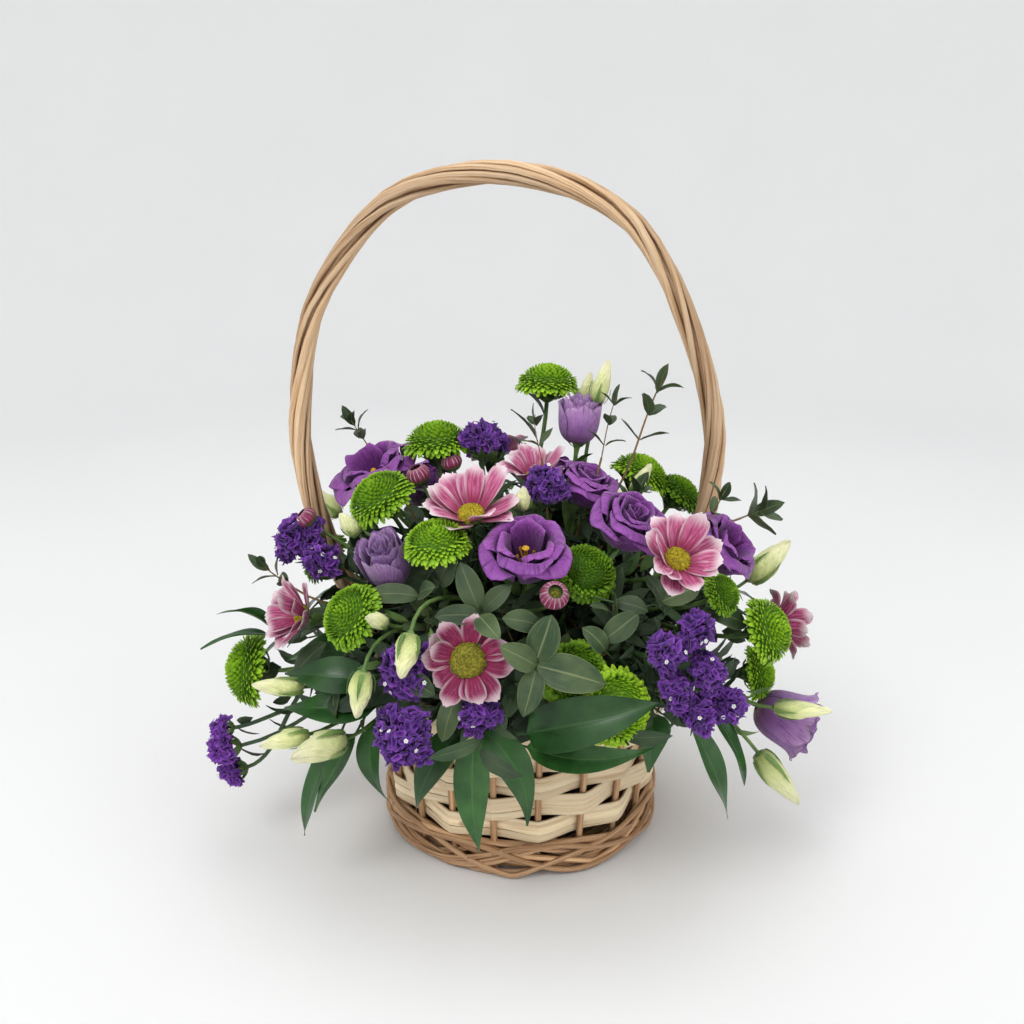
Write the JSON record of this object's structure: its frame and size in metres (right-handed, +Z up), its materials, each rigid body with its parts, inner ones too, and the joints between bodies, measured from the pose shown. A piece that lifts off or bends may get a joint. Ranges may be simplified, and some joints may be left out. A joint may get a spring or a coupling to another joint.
{
  "type": "flower basket arrangement",
  "caption": "Round woven willow basket with a tall twisted arch handle, filled with a mixed dome of purple, pink and lime green cut flowers and foliage set in floral foam.",
  "frame": {"origin": "centre of the basket base's flat underside", "axes": "+Z up; -Y is the front of the arrangement; the handle's arch stands in the XZ plane"},
  "size_m": [0.4261, 0.3396, 0.4547],
  "materials": {
    "willow": "satin, peeled and buff-stained willow",
    "liner_film": "soft black film",
    "floral_foam": "matte, wet open foam",
    "lisianthus_petal": "soft violet petals with darker veins",
    "daisy_petal": "soft pink petals with pale edges",
    "daisy_disc": "matte yellow disc florets",
    "santini_green": "matte lime green florets",
    "statice_violet": "dry papery ruffles",
    "stem_green": "satin green stems and buds",
    "ruscus_leaf": "glossy leathery leaf",
    "eucalyptus_leaf": "matte bloomy leaf"
  },
  "bodies": {
    "root": {"basket_foot": "willow", "basket_frame": "willow", "basket_row_1": "willow", "basket_row_2": "willow", "basket_row_3": "willow", "basket_row_4": "willow", "daisy_1": "daisy_petal", "daisy_2": "daisy_petal", "daisy_3": "daisy_petal", "daisy_4": "daisy_petal", "daisy_5": "daisy_petal", "daisy_6": "daisy_petal", "daisy_7": "daisy_petal", "daisy_eye_1": "daisy_disc", "daisy_eye_2": "daisy_disc", "daisy_eye_3": "daisy_disc", "daisy_eye_4": "daisy_disc", "daisy_eye_5": "daisy_disc", "daisy_eye_6": "daisy_disc", "daisy_eye_7": "daisy_disc", "daisy_stems_back": "stem_green", "daisy_stems_front": "stem_green", "eucalyptus_front": "eucalyptus_leaf", "eucalyptus_left": "eucalyptus_leaf", "eucalyptus_right": "eucalyptus_leaf", "foam": "floral_foam", "handle": "willow", "liner": "liner_film", "lisianthus_1": "lisianthus_petal", "lisianthus_10": "lisianthus_petal", "lisianthus_2": "lisianthus_petal", "lisianthus_3": "lisianthus_petal", "lisianthus_4": "lisianthus_petal", "lisianthus_5": "lisianthus_petal", "lisianthus_6": "lisianthus_petal", "lisianthus_7": "lisianthus_petal", "lisianthus_8": "lisianthus_petal", "lisianthus_9": "lisianthus_petal", "lisianthus_stems_back": "stem_green", "lisianthus_stems_front": "stem_green", "lisianthus_stems_left": "stem_green", "lisianthus_stems_right": "stem_green", "lisianthus_stems_top": "stem_green", "ruscus_back": "ruscus_leaf", "ruscus_front": "ruscus_leaf", "ruscus_left": "ruscus_leaf", "ruscus_right": "ruscus_leaf", "santini_back": "santini_green", "santini_far_left": "santini_green", "santini_far_right": "santini_green", "santini_front": "santini_green", "santini_left": "santini_green", "santini_right": "santini_green", "santini_top": "santini_green", "statice_back": "statice_violet", "statice_front": "statice_violet", "statice_left": "statice_violet", "statice_right": "statice_violet", "statice_top": "statice_violet"}
  },
  "joints": []
}
